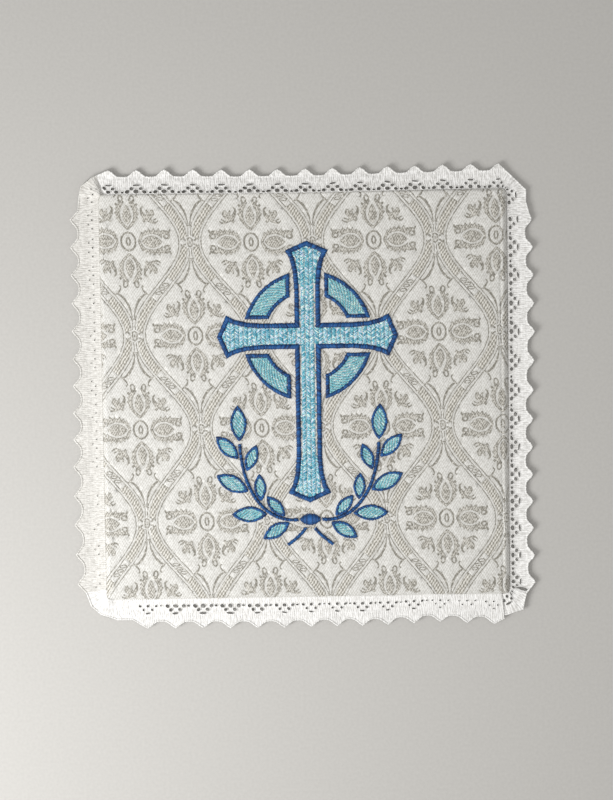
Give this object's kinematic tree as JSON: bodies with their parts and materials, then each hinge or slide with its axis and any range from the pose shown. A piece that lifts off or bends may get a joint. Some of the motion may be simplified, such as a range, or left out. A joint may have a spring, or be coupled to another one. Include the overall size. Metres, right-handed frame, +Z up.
{
  "type": "chalice pall",
  "caption": "Stiff square of damask with a scalloped lace edging and a raised embroidered cross and laurel, laid over the cup of a chalice.",
  "frame": {"origin": "centre of the underside, on the plane that the pall rests on", "axes": "+Z up out of the embroidered face, +Y towards the top of the emblem, +X to its right"},
  "size_m": [0.17, 0.1688, 0.0043],
  "materials": {
    "damask": "light grey and ivory damask, satin figure on a twill ground",
    "lace": "matt white cotton bobbin lace",
    "blue_thread": "deep blue satin stitch, glossy thread",
    "cyan_thread": "bright cyan metallic fill stitch",
    "aqua_thread": "pale aqua metallic fill stitch"
  },
  "bodies": {
    "root": {"cross_border": "blue_thread", "cross_field": "cyan_thread", "halo_border_1": "blue_thread", "halo_border_2": "blue_thread", "halo_border_3": "blue_thread", "halo_border_4": "blue_thread", "halo_field_1": "aqua_thread", "halo_field_2": "aqua_thread", "halo_field_3": "aqua_thread", "halo_field_4": "aqua_thread", "lace_edging": "lace", "leaf_left_1": "aqua_thread", "leaf_left_2": "aqua_thread", "leaf_left_3": "aqua_thread", "leaf_left_4": "aqua_thread", "leaf_left_5": "aqua_thread", "leaf_left_6": "aqua_thread", "leaf_left_7": "aqua_thread", "leaf_left_8": "aqua_thread", "leaf_right_1": "aqua_thread", "leaf_right_2": "aqua_thread", "leaf_right_3": "aqua_thread", "leaf_right_4": "aqua_thread", "leaf_right_5": "aqua_thread", "leaf_right_6": "aqua_thread", "leaf_right_7": "aqua_thread", "leaf_right_8": "aqua_thread", "pall_body": "damask", "spray_tie": "blue_thread", "stem_left": "blue_thread", "stem_right": "blue_thread", "tail_left": "blue_thread", "tail_right": "blue_thread"}
  },
  "joints": []
}
